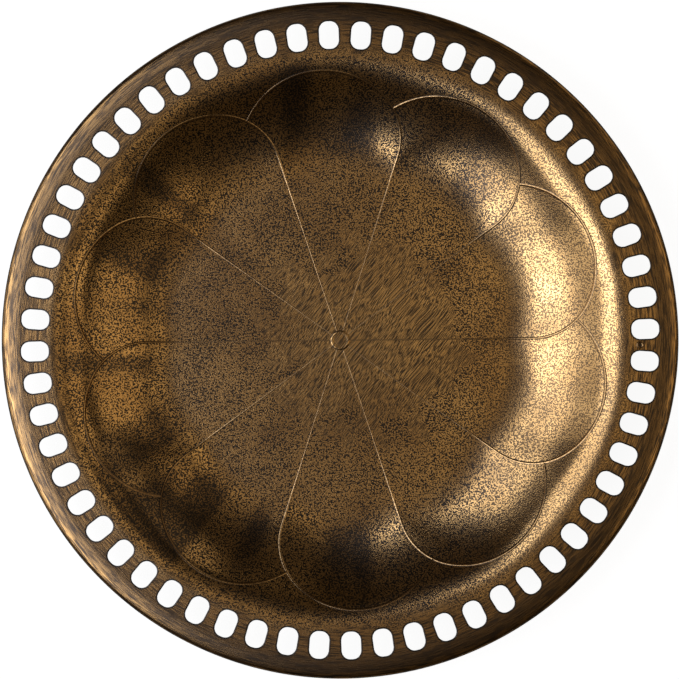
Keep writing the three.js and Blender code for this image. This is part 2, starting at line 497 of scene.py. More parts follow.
    def rim(self) -> Patch:
        """The drooping rim and its curl: a turned section of arcs, out on one face, back on the other.

        Returns:
            The grid.
        """
        shape = self.shape
        inner = shape.wire + shape.clearance
        outer = inner + shape.sheet
        gap = shape.droop_bend - outer
        bend_end = math.asin((shape.outer - outer - shape.droop) / gap)
        centre = (shape.droop, shape.top - shape.droop_bend)
        curl = (shape.outer - outer, centre[1] + gap * math.cos(bend_end))
        start = math.asin((self.cell_outer - shape.droop) / shape.droop_bend)
        back = math.asin((self.cell_outer - shape.droop) / (shape.droop_bend - shape.sheet))
        tip = (inner + outer) / 2
        tip_centre = (curl[0] + tip * math.sin(self.curl_end), curl[1] + tip * math.cos(self.curl_end))
        nose = arc(tip_centre, shape.sheet / 2, self.curl_end, self.curl_end + math.pi, steps=4)
        section = np.concatenate([
            arc(centre, shape.droop_bend, start, bend_end, steps=4),
            arc(curl, outer, bend_end, self.curl_end, steps=12)[1:],
            nose[1:-1],
            arc(curl, inner, self.curl_end, bend_end, steps=8),
            arc(centre, shape.droop_bend - shape.sheet, bend_end, back, steps=3)[1:],
        ])
        return Patch(turned(section, self.columns))

    def build(self) -> Object:
        """Builds the whole sheet as one closed shell.

        Returns:
            The object.
        """
        upper = self.well(self.well_radii(bowl_steps=23, shoulder_steps=10), upper=True)
        lower = self.well(self.well_radii(bowl_steps=9, shoulder_steps=4), upper=False)
        hole = Patch(np.stack([upper.points[0], lower.points[0]]))
        return mesh_object("tray_sheet", [upper, lower, hole, *self.slot_cells(), self.rim()])


@dataclass
class PetalBeads:
    """The raised lines that outline the petals, one for each petal.

    A line starts at the centre button, runs straight out, turns left over the petal's shoulder and round
    its tip, and ends where it meets the shoulder of the next petal, which lies over it.

    Attributes:
        shape: The tray's shape.
        start, straight: Distances from the axis between which the side is straight.
        shoulder, shoulder_turn, tip: Bend radius and turn of the shoulder, bend radius of the tip.
        half_width, rise: Half the width of the line, and its height.
        skirt, skirt_dark: Width of the strip at its foot on each side, and how dark it is.
        step: Length of a stretch along the line.
        narrow: Share of the width left near the button; the height's share is its square.
        narrow_from, narrow_until: Distances between which the line gets its full size.
    """

    shape: TrayShape
    start: float = 4.6 * MM
    straight: float = 102.4 * MM
    shoulder: float = 31.1 * MM
    shoulder_turn: float = math.radians(64.9)
    tip: float = 44.8 * MM
    half_width: float = 0.62 * MM
    skirt: float = 0.26 * MM
    skirt_dark: float = 0.8
    rise: float = 0.2 * MM
    step: float = 0.8 * MM
    narrow: float = 0.44
    narrow_from: float = 55.0 * MM
    narrow_until: float = 114.0 * MM

    def tip_centre(self) -> Array:
        """Centre of the tip's arc, which goes on from the shoulder's end in the same direction."""
        turn = self.shoulder_turn
        apart = self.tip - self.shoulder
        return np.array([self.straight - apart * math.sin(turn), self.shoulder + apart * math.cos(turn)])

    def tip_turn(self) -> float:
        """How far the tip turns before it meets the next petal's shoulder circle (law of cosines).

        Returns:
            The turn.
        """
        pitch = 2 * math.pi / self.shape.petals
        between = np.array(rotated(self.straight, self.shoulder, pitch)) - self.tip_centre()
        far = float(np.hypot(*between))
        cosine = (self.tip**2 + far**2 - self.shoulder**2) / (2 * self.tip * far)
        heading = math.atan2(between[1], between[0]) - math.acos(cosine)
        return heading - (self.shoulder_turn - math.pi / 2)

    def path(self) -> tuple[Array, Array]:
        """The line in plan, in even steps, and its heading at each point.

        Returns:
            Points of shape (n, 2) and headings of shape (n,).
        """
        straight = self.straight - self.start
        lengths = np.array([straight, self.shoulder * self.shoulder_turn, self.tip * self.tip_turn()])
        along = np.linspace(0, lengths.sum(), int(lengths.sum() / self.step))
        first = np.clip(along, 0, straight)
        bend = np.clip(along - straight, 0, lengths[1]) / self.shoulder
        cap = np.clip(along - straight - lengths[1], 0, None) / self.tip
        heading = bend + cap
        x = self.start + first + self.shoulder * np.sin(bend)
        y = self.shoulder * (1 - np.cos(bend))
        x = x + self.tip * (np.sin(heading) - np.sin(bend))
        y = y + self.tip * (np.cos(bend) - np.cos(heading))
        return np.stack([x, y], axis=1), heading

    def profile(self) -> tuple[Array, Array, Array]:
        """The line's section: a parabola between two low skirts.

        Returns:
            Offsets across the line, heights over the sheet, and how dark the patina is, each of shape (n,).
        """
        crown = np.linspace(-1, 1, num=9)
        edge = self.half_width + self.skirt
        offsets = np.concatenate([[-edge], self.half_width * crown, [edge]])
        heights = np.pad(LAID_ON + self.rise * (1 - crown**2), 1, constant_values=-LAID_ON)
        patina = np.pad(crown**6, 1, constant_values=self.skirt_dark)
        return offsets, heights, patina

    def build(self) -> Object:
        """Lays the profile over the sheet along every petal's line.

        A point lies at path + offset x left-hand normal in plan, at the sheet's height there plus the
        profile's height. Near the middle both are scaled down.

        Returns:
            The object.
        """
        plan, heading = self.path()
        offsets, heights, patina = self.profile()
        far = np.hypot(plan[:, 0], plan[:, 1])
        size = self.narrow + (1 - self.narrow) * smoothstep(far, self.narrow_from, self.narrow_until)
        offset = size[:, None] * offsets
        x = plan[:, :1] - offset * np.sin(heading)[:, None]
        y = plan[:, 1:] + offset * np.cos(heading)[:, None]
        patches = []
        for turn in even_turns(self.shape.petals):
            spots = rotated(x, y, turn)
            up = self.shape.height(*spots) + size[:, None] ** 2 * heights
            patches.append(Patch(np.stack([*spots, up], axis=2), wrap=False, patina=patina))
        return mesh_object("petal_beads", patches)


# ---- Small pieces ----


@dataclass
class CentreRivet:
    """The low rivet in the middle: a worn head with a shallow dish, a shank and a bucked tail.

    Attributes:
        shape: The tray's shape.
        knots: Places on the head's face, crown, dish, rim and edge, as shares of its radius.
        falls: How far each but the last lies under the rim, in millimetres.
        edge, seat: Heights of the head's edge and its underside over the sheet.
        shank, tail: Their radii.
        tail_thickness, tail_round: Thickness of the tail, radius of its lower edge.
        tail_taper: Radius of the tail's upper face, as a share of the tail's.
        dish_dark, edge_dark: How dark the foot of the rim and the head's edge are.
        dark_width: Width over which the foot's darkness fades.
        steps: Number of columns.
    """

    shape: TrayShape
    knots: tuple[float, ...] = (0, 0.2, 0.6, 0.84, 0.95, 1)
    falls: tuple[float, ...] = (0.03, 0.042, 0.09, 0, 0.2)
    edge: float = 0.1 * MM
    seat: float = 0.02 * MM
    shank: float = 2.0 * MM
    tail: float = 3.4 * MM
    tail_thickness: float = 0.8 * MM
    tail_round: float = 0.4 * MM
    tail_taper: float = 0.97
    dish_dark: float = 0.15
    edge_dark: float = 0.4
    dark_width: float = 0.5 * MM
    steps: int = 96

    def build(self) -> Object:
        """Builds the rivet from the middle of its head round to the middle of its tail.

        The head's face is a smooth curve through the crown, the dish, the rim's crest and the edge.

        Returns:
            The object.
        """
        low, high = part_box("centre_rivet")
        radius = high.x
        under = self.shape.base_top + self.seat
        tail_top = low.z + self.tail_thickness
        knots = np.array(self.knots) * radius
        tops = np.append(high.z - MM * np.array(self.falls), self.shape.base_top + self.edge)
        out = np.linspace(0, 1, num=25) * radius
        blend = np.interp(out, knots, np.arange(len(knots)))
        part = np.floor(blend).clip(0, len(knots) - 2).astype(int)
        share = smoothstep(blend - part, 0, 1)
        face = np.stack([out, tops[part] * (1 - share) + tops[part + 1] * share], axis=1)
        tail_out = self.tail * self.tail_taper
        stem = [(radius, under), (self.shank, under), (self.shank, tail_top), (tail_out, tail_top)]
        middle = (self.tail - self.tail_round, low.z + self.tail_round)
        tail = arc(middle, self.tail_round, math.pi / 2, math.pi, steps=5)
        section = np.concatenate([face, stem, tail, [[0, low.z]]])
        dark = self.dish_dark * smoothstep(np.abs(section[:, 0] - knots[2]), self.dark_width, 0)
        dark = dark + self.edge_dark * smoothstep(section[:, 0], knots[4], radius)
        return mesh_object("rivet", [Patch(turned(section, self.steps), patina=dark[:, None])])


@dataclass
class RoundedDisc:
    """A flat ring or disc with rounded edges that fills a CAD node's box.

    Attributes:
        name, node: Name of the object, and of the CAD node.
        hole: Radius of the hole, 0 for a disc.
        upper_round, lower_round: Radii of the upper and the lower edge.
        lift: How far the upper face is raised to touch the sheet.
        steps: Number of columns.
    """

    name: str
    node: str
    hole: float
    upper_round: float
    lower_round: float
    lift: float = 0.0
    steps: int = 96

    def build(self) -> Object:
        """Turns the rounded section about the node's middle.

        Returns:
            The object.
        """
        low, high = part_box(self.node)
        middle = (low + high) / 2
        radius = (high.x - low.x) / 2
        top = high.z + self.lift
        ends = [(radius - self.upper_round, top - self.upper_round),
                (radius - self.lower_round, low.z + self.lower_round)]
        upper = arc(ends[0], self.upper_round, 0, math.pi / 2, steps=5)
        lower = arc(ends[1], self.lower_round, math.pi / 2, math.pi, steps=5)
        section = np.concatenate([[[self.hole, top]], upper, lower, [[self.hole, low.z]]])
        if self.hole:
            section = np.concatenate([section, section[:1]])
        return mesh_object(self.name, [Patch(turned(section, self.steps, (middle.x, middle.y)))])


@dataclass
class RimWire:
    """The wire inside the rolled edge.

    Attributes:
        columns, steps: Number of columns round the tray, and of stretches round the wire.
    """

    columns: int = 360
    steps: int = 12

    def build(self) -> Object:
        """Builds the ring in the middle of its box.

        Returns:
            The object.
        """
        low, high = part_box("rim_wire")
        radius = (high.z - low.z) / 2
        section = arc((high.x - radius, (low.z + high.z) / 2), radius, 0, 2 * math.pi, self.steps)
        return mesh_object("wire", [Patch(turned(section, self.columns))])


@dataclass
class PunchMark:
    """A small round mark punched into a web between two slots: a raised lip round a dark pit.

    Attributes:
        shape: The tray's shape.
        ring, angle: Distance from the tray's axis, turn from +X.
        lip, lip_width, rise: Radius of the lip's crest, distance in which it falls to 1 / e, its height.
        reach, sink: Radius of the whole mark, depth of its outer edge in the sheet.
        pit, foot: Where the dark pit is full and ends and the dark foot starts, as shares of lip.
        steps: Number of columns.
    """

    shape: TrayShape
    ring: float = 157.6 * MM
    angle: float = math.radians(-1.5)
    lip: float = 1.55 * MM
    lip_width: float = 0.32 * MM
    reach: float = 2.1 * MM
    rise: float = 0.28 * MM
    sink: float = 0.05 * MM
    pit: Span = (0.45, 0.9)
    foot: float = 1.15
    steps: int = 40

    def build(self) -> Object:
        """Turns the lip's section, a smooth swell that falls into a pit, about the mark's middle.

        Returns:
            The object.
        """
        out = np.linspace(0, 1, num=15) * self.reach
        up = self.rise * np.exp(-((out - self.lip) / self.lip_width) ** 2) + LAID_ON
        up[-1] = -self.sink
        full, end = (self.lip * share for share in self.pit)
        dark = smoothstep(out, end, full) + smoothstep(out, self.lip * self.foot, self.reach)
        centre = (self.ring * math.cos(self.angle), self.ring * math.sin(self.angle))
        points = turned(np.stack([out, up + self.shape.top], axis=1), self.steps, centre)
        return mesh_object("punch_mark", [Patch(points, patina=dark[:, None])])


# ---- Node trees ----


class Kind(Enum):
    """Kinds of socket of a node group."""

    VALUE = "NodeSocketFloat"
    VECTOR = "NodeSocketVector"


class Graph:
    """Adds nodes to one node tree and links them."""

    def __init__(self, tree: Tree) -> None:
        """Starts on an empty tree."""
        self.tree = tree
        self.tree.nodes.clear()

    def add(self, kind: str, feeds: dict[Union[str, int], Feed], **settings: object) -> bpy.types.Node:
        """Adds a node.

        Args:
            kind: The node's type, without the word ShaderNode.
            feeds: What goes into each input, by name or number: a socket or a constant.
            **settings: Properties of the node.

        Returns:
            The node.
        """
        node = self.tree.nodes.new("ShaderNode" + kind)
        for name, value in settings.items():
            setattr(node, name, value)
        for name, feed in feeds.items():
            if isinstance(feed, Socket):
                self.tree.links.new(feed, node.inputs[name])
            else:
                node.inputs[name].default_value = feed
        return node

    def math(self, operation: str, first: Feed, second: Feed = 0.0) -> Socket:
        """One arithmetic step on values."""
        return self.add("Math", {0: first, 1: second}, operation=operation).outputs[0]

    def times(self, first: Feed, second: Feed) -> Socket:
        """A product of values."""
        return self.math("MULTIPLY", first, second)

    def most(self, first: Feed, *others: Feed) -> Feed:
        """The largest of the values."""
        for other in others:
            first = self.math("MAXIMUM", first, other)
        return first

    def vector(self, operation: str, first: Feed, second: Feed = (0, 0, 0)) -> Socket:
        """One arithmetic step on vectors."""
        node = self.add("VectorMath", {0: first, 1: second}, operation=operation)
        return node.outputs["Value" if operation == "LENGTH" else "Vector"]

    def scaled(self, vector: Feed, scale: Feed) -> Socket:
        """A vector times a value."""
        feeds = {0: vector, "Scale": scale}
        return self.add("VectorMath", feeds, operation="SCALE").outputs["Vector"]

    def joined(self, x: Feed = 0.0, y: Feed = 0.0, z: Feed = 0.0) -> Socket:
        """The vector of three values."""
        return self.add("CombineXYZ", {0: x, 1: y, 2: z}).outputs[0]

    def part(self, vector: Feed, axis: int) -> Socket:
        """One value of a vector."""
        return self.add("SeparateXYZ", {0: vector}).outputs[axis]

    def spread(self, value: Feed, low: Feed, high: Feed, start: Feed = 0.0, end: Feed = 1.0) -> Socket:
        """Goes smoothly from start at low to end at high."""
        feeds = {"Value": value, "From Min": low, "From Max": high, "To Min": start, "To Max": end}
        return self.add("MapRange", feeds, interpolation_type="SMOOTHSTEP").outputs["Result"]

    def zone(self, value: Feed, edges: Edges) -> Socket:
        """Rises from 0 to 1 between the first two edges and falls back between the last two."""
        return self.times(self.spread(value, edges[0], edges[1]), self.spread(value, edges[3], edges[2]))

    def blend(self, share: Feed, first: Feed, second: Feed) -> Socket:
        """Blends two colours."""
        return self.add("Mix", {0: share, 6: first, 7: second}, data_type="RGBA").outputs[2]

    def between(self, share: Feed, first: Feed, second: Feed) -> Socket:
        """Blends two values."""
        return self.add("Mix", {0: share, 2: first, 3: second}, data_type="FLOAT").outputs[0]

    def noise(self, vector: Feed, scale: Feed, detail: Feed, distortion: float = 0.0,
              roughness: float = 0.5) -> Socket:
        """Noise between 0 and 1, about 0.5."""
        feeds = {"Vector": vector, "Scale": scale, "Detail": detail, "Roughness": roughness,
                 "Distortion": distortion}
        return self.add("TexNoise", feeds, noise_dimensions="3D").outputs["Fac"]

    def effect(self, tree: Tree, **feeds: Feed) -> bpy.types.NodeOutputs:
        """Adds a node group whose inputs are fed by name."""
        return self.add("Group", feeds, node_tree=tree).outputs

    def place(self) -> Socket:
        """The place on the object, in millimetres."""
        return self.scaled(self.add("TexCoord", {}).outputs["Object"], 1 / MM)

    def principled(self, feeds: dict[str, Feed]) -> None:
        """Adds a Principled shader that ends the tree."""
        shader = self.add("BsdfPrincipled", feeds)
        self.add("OutputMaterial", {"Surface": shader.outputs[0]})


def new_material(name: str) -> tuple[Material, Graph]:
    """An empty material and its graph.

    Args:
        name: Name of the material.

    Returns:
        The material and the graph.
    """
    material = bpy.data.materials.new(name)
    material.use_nodes = True
    return material, Graph(material.node_tree)


class Effect:
    """A shader node group with named inputs and outputs."""

    def __init__(self, name: str, values: Sequence[str], outputs: Sequence[str]) -> None:
        """Makes the group and its two ends. The inputs are a Place and the named values.

        Args:
            name: Name of the group.
            values: Names of its inputs after Place.
            outputs: Names of its outputs.
        """
        self.tree = bpy.data.node_groups.new(name, "ShaderNodeTree")
        sockets = [("Place", "INPUT", Kind.VECTOR)]
        sockets += [(label, "INPUT", Kind.VALUE) for label in values]
        sockets += [(label, "OUTPUT", Kind.VALUE) for label in outputs]
        for label, way, kind in sockets:
            self.tree.interface.new_socket(label, in_out=way, socket_type=kind.value)
        self.graph = Graph(self.tree)
        self.given = self.tree.nodes.new("NodeGroupInput").outputs
        self.made = self.tree.nodes.new("NodeGroupOutput").inputs

    def give(self, label: str, socket: Socket) -> None:
        """Links a result to a named output."""
        self.tree.links.new(socket, self.made[label])


def stipple_effect() -> Tree:
    """Leathery grain of small dark dimples between rounded cells.

    Inputs are a place in millimetres, the pitch of the grain in millimetres and how much of the surface is
    dimpled. Dimple is 1 inside a dimple, where the noise is under an edge that Cover raises. Height is the
    relief from 0 to 1.

    Returns:
        The group.
    """
    effect = Effect("stipple", ["Pitch", "Cover"], ["Dimple", "Height"])
    graph, given = effect.graph, effect.given
    lowest_edge, reach, soft = 0.465, 0.09, 0.03
    scale = graph.math("DIVIDE", 1.0, given["Pitch"])
    worms = graph.noise(given["Place"], scale, detail=0.0, distortion=0.4)
    edge = graph.math("ADD", lowest_edge, graph.times(given["Cover"], reach))
    outside, inside = (graph.math(way, edge, soft) for way in ("ADD", "SUBTRACT"))
    effect.give("Dimple", graph.spread(worms, outside, inside))
    effect.give("Height", graph.spread(worms, low=0.3, high=0.65))
    return effect.tree


def stroke_effect() -> Tree:
    """Straight brush strokes in the XY plane.

    Inputs are a place in millimetres, the strokes' direction as a turn from +X, and their length and width
    in millimetres. The strokes bend a little from place to place. Stroke goes from 0 to 1.

    Returns:
        The group.
    """
    effect = Effect("brush_strokes", ["Turn", "Length", "Width"], ["Stroke"])
    graph, given = effect.graph, effect.given
    sway_scale, sway_size = 0.04, 22.0
    sway = graph.math("SUBTRACT", graph.noise(given["Place"], sway_scale, detail=1.0), 0.5)
    sway = graph.times(sway, sway_size)
    bent = graph.vector("ADD", given["Place"], graph.joined(sway, sway))
    feeds = {"Vector": bent, "Angle": graph.times(given["Turn"], -1)}
    rotated_place = graph.add("VectorRotate", feeds, rotation_type="Z_AXIS").outputs[0]
    shrink = graph.joined(given["Length"], given["Width"], given["Length"])
    place = graph.vector("DIVIDE", rotated_place, shrink)
    effect.give("Stroke", graph.noise(place, 1.0, detail=1.0, distortion=0.25))
    return effect.tree


def ring_stroke_effect() -> Tree:
    """Brush strokes that run round the Z axis.

    Inputs are a place in millimetres, the strokes' length and width in millimetres, and how much fine
    detail they have. The pattern is noise at (unit direction x ring / length, distance from the axis /
    width), so it has no seam and the length is true on that ring.

    Returns:
        The group.
    """
    effect = Effect("ring_strokes", ["Length", "Width", "Detail"], ["Stroke"])
    graph, given = effect.graph, effect.given
    ring = 165.0
    flat = graph.vector("MULTIPLY", given["Place"], (1, 1, 0))
    way = graph.scaled(graph.vector("NORMALIZE", flat), graph.math("DIVIDE", ring, given["Length"]))
    depth = graph.joined(z=graph.math("DIVIDE", graph.vector("LENGTH", flat), given["Width"]))
    place = graph.vector("ADD", way, depth)
    effect.give("Stroke", graph.noise(place, 1.0, given["Detail"], distortion=0.2, roughness=0.65))
    return effect.tree


def cloud_effect() -> Tree:
    """Large soft patches with ragged edges.

    Inputs are a place in millimetres and the patches' size in millimetres. Patch goes from 0 to 1.

    Returns:
        The group.
    """
    effect = Effect("patina_clouds", ["Size"], ["Patch"])
    graph, given = effect.graph, effect.given
    scale = graph.math("DIVIDE", 1.0, given["Size"])
    noise = graph.noise(given["Place"], scale, detail=5.0, distortion=0.8, roughness=0.55)
    effect.give("Patch", graph.spread(noise, low=0.36, high=0.66))
    return effect.tree


@dataclass(frozen=True)
class Effects:
    """The node groups that the finishes share."""

    stipple: Tree
    strokes: Tree
    rings: Tree
    clouds: Tree

    @classmethod
    def build(cls) -> "Effects":
        """Builds every group once."""
        return cls(stipple_effect(), stroke_effect(), ring_stroke_effect(), cloud_effect())


# ---- Finishes ----


@dataclass(frozen=True)
class WearAndShade:
    """Where age and handling show on brass, where shade and light are painted onto it, and how much.

    Lengths are in millimetres and shares go from 0 to 1. Strokes, rings and streaks have a length, a
    width and, the last two, a detail. The edges of a zone say where it starts, is full, starts to end
    and has ended. A soft edge is given by half its width, or by its widths on both sides. Lines say at
    which noise they are clear and where they are darkest, and relief says where it is lowest and highest.
    """

    cloud_size: float = 50.0
    drift_size: float = 20.0
    drift_from: tuple[float, float, float] = (310, 90, 40)
    drift_cover: float = 0.6
    strokes: Span = (4.5, 0.4)
    rings: tuple[float, float, float] = (9.0, 0.6, 2.0)
    streaks: tuple[float, float, float] = (34.0, 110.0, 0.3)
    smudged: Span = (0.47, 0.66)
    wall: Edges = (88, 108, 144, 150)
    ragged: float = 26.0
    rim_ragged: float = 0.3
    middle_soft: float = 4
    rim_soft: Span = (4, 8)
    # painted light: towards +X, where the lamps' highlights fall, smudges and dark grain are weakened
    painted_light_side: float = 85.0
    painted_light_soft: float = 40
    painted_light_smudge: float = 0.85
    painted_light_grain: float = 0.72
    # painted shade: a dark band over the outer flange and the drooping rim, 163 to 175.6 mm out
    rim_shade_band: Edges = (163, 169, 173.6, 175.6)
    # painted shade: faces from about 60 degrees off level go towards black, fully at about 75
    steep_shade: Span = (0.5, 0.25)
    stroke_lines: Span = (0.57, 0.43)
    stroke_dark: float = 0.9
    ring_lines: Span = (0.62, 0.38)
    ring_dark: float = 0.92
    relief: Span = (0.3, 0.7)
    browns: tuple[float, float, float] = (0.55, 0.7, 0.8)
    shade_and_smudge: Span = (0.6, 0.45)
    hollow: float = 0.5
    hollows: Span = (0.9, 0.2)
    dulled: float = 0.1


@dataclass(frozen=True)
class AgedBrass:
    """Antique brass: a brown patina, stippled all over, brushed in the middle and round the rim.

    Attributes:
        name: Name of the material.
        bright, brown, black: Colours of thin patina, of thick patina, and of dimples and painted shade.
        roughness: Roughness of the bare metal.
        grain: Strength of the dark stipple and strokes.
        pitch, relief: Pitch of the stipple in millimetres, and its height.
        brushed_middle, brushed_rim: Where the brushed middle ends and the rim starts, in millimetres.
        middle_spot: From the brushed middle's centre to the tray's axis, in millimetres.
        brush_turn: Direction of the strokes in the middle.
        wear_and_shade: Where age and handling show, and where shade and light are painted.
    """

    name: str
    bright: Colour = (0.96, 0.58, 0.22, 1)
    brown: Colour = (0.44, 0.22, 0.055, 1)
    black: Colour = (0.02, 0.008, 0.0012, 1)
    roughness: float = 0.2
    grain: float = 1.0
    pitch: float = 0.74
    relief: float = 0.022 * MM
    brushed_middle: float = 48.0
    middle_spot: tuple[float, float, float] = (-13.0, 0.0, 0.0)
    brushed_rim: float = 150.0
    brush_turn: float = math.radians(55)
    wear_and_shade: WearAndShade = WearAndShade()

    def build(self, effects: Effects) -> Material:
        """Builds the material.

        Args:
            effects: The shared node groups.

        Returns:
            The material.
        """
        material, graph = new_material(self.name)
        wear_and_shade, times, spread = self.wear_and_shade, graph.times, graph.spread
        place = graph.place()
        normal = graph.add("NewGeometry", {}).outputs["Normal"]
        # Dark marks: patina on the beads, rivet and punch mark, and painted shade round the slots.
        patina_and_slot_shade = graph.add("Attribute", {}, attribute_name=PATINA).outputs["Fac"]
        flat = graph.vector("MULTIPLY", place, (1, 1, 0))
        distance = graph.vector("LENGTH", flat)

        clouds = graph.effect(effects.clouds, Place=place, Size=wear_and_shade.cloud_size)["Patch"]
        elsewhere = graph.vector("ADD", place, wear_and_shade.drift_from)
        drift = graph.effect(effects.clouds, Place=elsewhere, Size=wear_and_shade.drift_size)["Patch"]
        sizes = dict(zip(("Length", "Width"), wear_and_shade.strokes))
        strokes = graph.effect(effects.strokes, Place=place, Turn=self.brush_turn, **sizes)["Stroke"]
        sizes = dict(zip(("Length", "Width", "Detail"), wear_and_shade.rings))
        rings = graph.effect(effects.rings, Place=place, **sizes)["Stroke"]
        sizes = dict(zip(("Length", "Width", "Detail"), wear_and_shade.streaks))
        streaks = graph.effect(effects.rings, Place=place, **sizes)["Stroke"]

        ragged = times(graph.math("SUBTRACT", drift, 0.5), wear_and_shade.ragged)
        from_middle = graph.vector("LENGTH", graph.vector("ADD", flat, self.middle_spot))
        middle = spread(graph.math("ADD", from_middle, ragged), self.brushed_middle + wear_and_shade.middle_soft,
                        self.brushed_middle - wear_and_shade.middle_soft)
        rim = spread(graph.math("ADD", distance, times(ragged, wear_and_shade.rim_ragged)),
                     self.brushed_rim - wear_and_shade.rim_soft[0], self.brushed_rim + wear_and_shade.rim_soft[1])
        # Painted light: the side towards +X, under the lamps' highlights, keeps fewer dark smudges and less
        # dark grain.
        painted_light_side = spread(graph.part(place, 0), wear_and_shade.painted_light_side - wear_and_shade.painted_light_soft,
                          wear_and_shade.painted_light_side + wear_and_shade.painted_light_soft)
        smudge = times(graph.zone(distance, wear_and_shade.wall), spread(streaks, *wear_and_shade.smudged))
        smudge = times(smudge, graph.math("SUBTRACT", 1.0, times(painted_light_side, wear_and_shade.painted_light_smudge)))
        cover = graph.most(times(drift, wear_and_shade.drift_cover), smudge)
        stipple = graph.effect(effects.stipple, Place=place, Pitch=self.pitch, Cover=cover)
        # Painted shade: the rim band is blended towards black, darkest from 169 to 173.6 mm out.
        rim_shade = graph.zone(distance, wear_and_shade.rim_shade_band)
        # Painted shade: from the normal, faces turned steeply from level, such as slot walls and the rolled
        # edge, go black.
        edge = spread(graph.math("ABSOLUTE", graph.part(normal, 2)), *wear_and_shade.steep_shade)

        # Dark grain, weakened on the painted light side.
        grain_dark = times(stipple["Dimple"], spread(painted_light_side, 0.0, 1.0, 1.0, wear_and_shade.painted_light_grain))
        stroke_dark = times(spread(strokes, *wear_and_shade.stroke_lines), wear_and_shade.stroke_dark)
        ring_dark = times(spread(rings, *wear_and_shade.ring_lines), wear_and_shade.ring_dark)
        dark = graph.between(middle, grain_dark, stroke_dark)
        dark = times(graph.between(rim, dark, ring_dark), self.grain)

        height = graph.between(middle, stipple["Height"], spread(strokes, *wear_and_shade.relief))
        height = graph.between(rim, height, spread(rings, *wear_and_shade.relief))
        browns = [times(*pair) for pair in zip((clouds, rim, smudge), wear_and_shade.browns)]
        # Painted shade of the rim band, and dark patina smudges on the wall.
        shade_and_smudge = [times(*pair) for pair in zip((rim_shade, smudge), wear_and_shade.shade_and_smudge)]
        colour = graph.blend(graph.most(*browns), self.bright, self.brown)
        colour = graph.blend(graph.most(*shade_and_smudge), colour, self.black)
        colour = graph.blend(spread(height, *wear_and_shade.hollows, 0.0, wear_and_shade.hollow), colour, self.brown)
        colour = graph.blend(dark, colour, self.black)
        # Painted shade on steep faces and round the slots, and dark patina marks on the beads, rivet and
        # punch mark.
        colour = graph.blend(graph.most(edge, patina_and_slot_shade), colour, self.black)

        bump = graph.add("Bump", {"Height": height, "Distance": self.relief, "Strength": 1.0})
        graph.principled({
            "Base Color": colour,
            "Metallic": 1.0,
            "Roughness": graph.math("ADD", self.roughness, times(dark, wear_and_shade.dulled)),
            "Normal": bump.outputs[0],
            "Coat Weight": 0.7,
            "Coat Roughness": 0.3,
            "Coat IOR": 1.65,
        })
        return material


@dataclass(frozen=True)
class Felt:
    """Dense dark felt.

    Attributes:
        name: Name of the material.
        light, dark: Colours of the raised fibres and of the gaps between them.
        pitch, cover: Pitch of the fibres in millimetres, and their share of the stipple's range.
        relief: Height of the fibres.
    """

    name: str
    light: Colour = (0.045, 0.032, 0.024, 1)
    dark: Colour = (0.012, 0.008, 0.006, 1)
    pitch: float = 0.35
    cover: float = 0.6
    relief: float = 0.15 * MM

    def build(self, effects: Effects) -> Material:
        """Builds the material.

        Args:
            effects: The shared node groups.

        Returns:
            The material.
        """
        material, graph = new_material(self.name)
        place = graph.place()
        fibres = graph.effect(effects.stipple, Place=place, Pitch=self.pitch, Cover=self.cover)["Height"]
        bump = graph.add("Bump", {"Height": fibres, "Distance": self.relief})
        graph.principled({
            "Base Color": graph.blend(fibres, self.dark, self.light),
            "Roughness": 0.95,
            "Normal": bump.outputs[0],
            "Sheen Weight": 0.3,
        })
        return material


# ---- Studio ----


@dataclass(frozen=True)
class SoftLight:
    """A square soft box that looks at the tray.

    Attributes:
        name: Name of the light.
        azimuth, elevation: Turn from +X and height above the horizon, in degrees.
        distance, size: Distance from the tray's middle, side of the square.
        radiance, tint: Brightness and colour of its face.
    """

    name: str
    azimuth: float
    elevation: float
    distance: float
    size: float
    radiance: float
    tint: tuple[float, float, float] = (1.0, 1.0, 1.0)

    def build(self) -> Object:
        """Adds the light. Its power is radiance x pi x area.

        Returns:
            The light.
        """
        data = bpy.data.lights.new(self.name, "AREA")
        data.shape = "SQUARE"
        data.size = self.size
        data.energy = self.radiance * math.pi * self.size**2
        data.color = self.tint
        light = bpy.data.objects.new(self.name, data)
        turn, up = math.radians(self.azimuth), math.radians(self.elevation)
        towards = Vector((math.cos(turn) * math.cos(up), math.sin(turn) * math.cos(up), math.sin(up)))
        light.location = towards * self.distance
        light.rotation_euler = towards.to_track_quat("Z", "Y").to_euler()
        light.visible_camera = False
        bpy.context.scene.collection.objects.link(light)
        return light


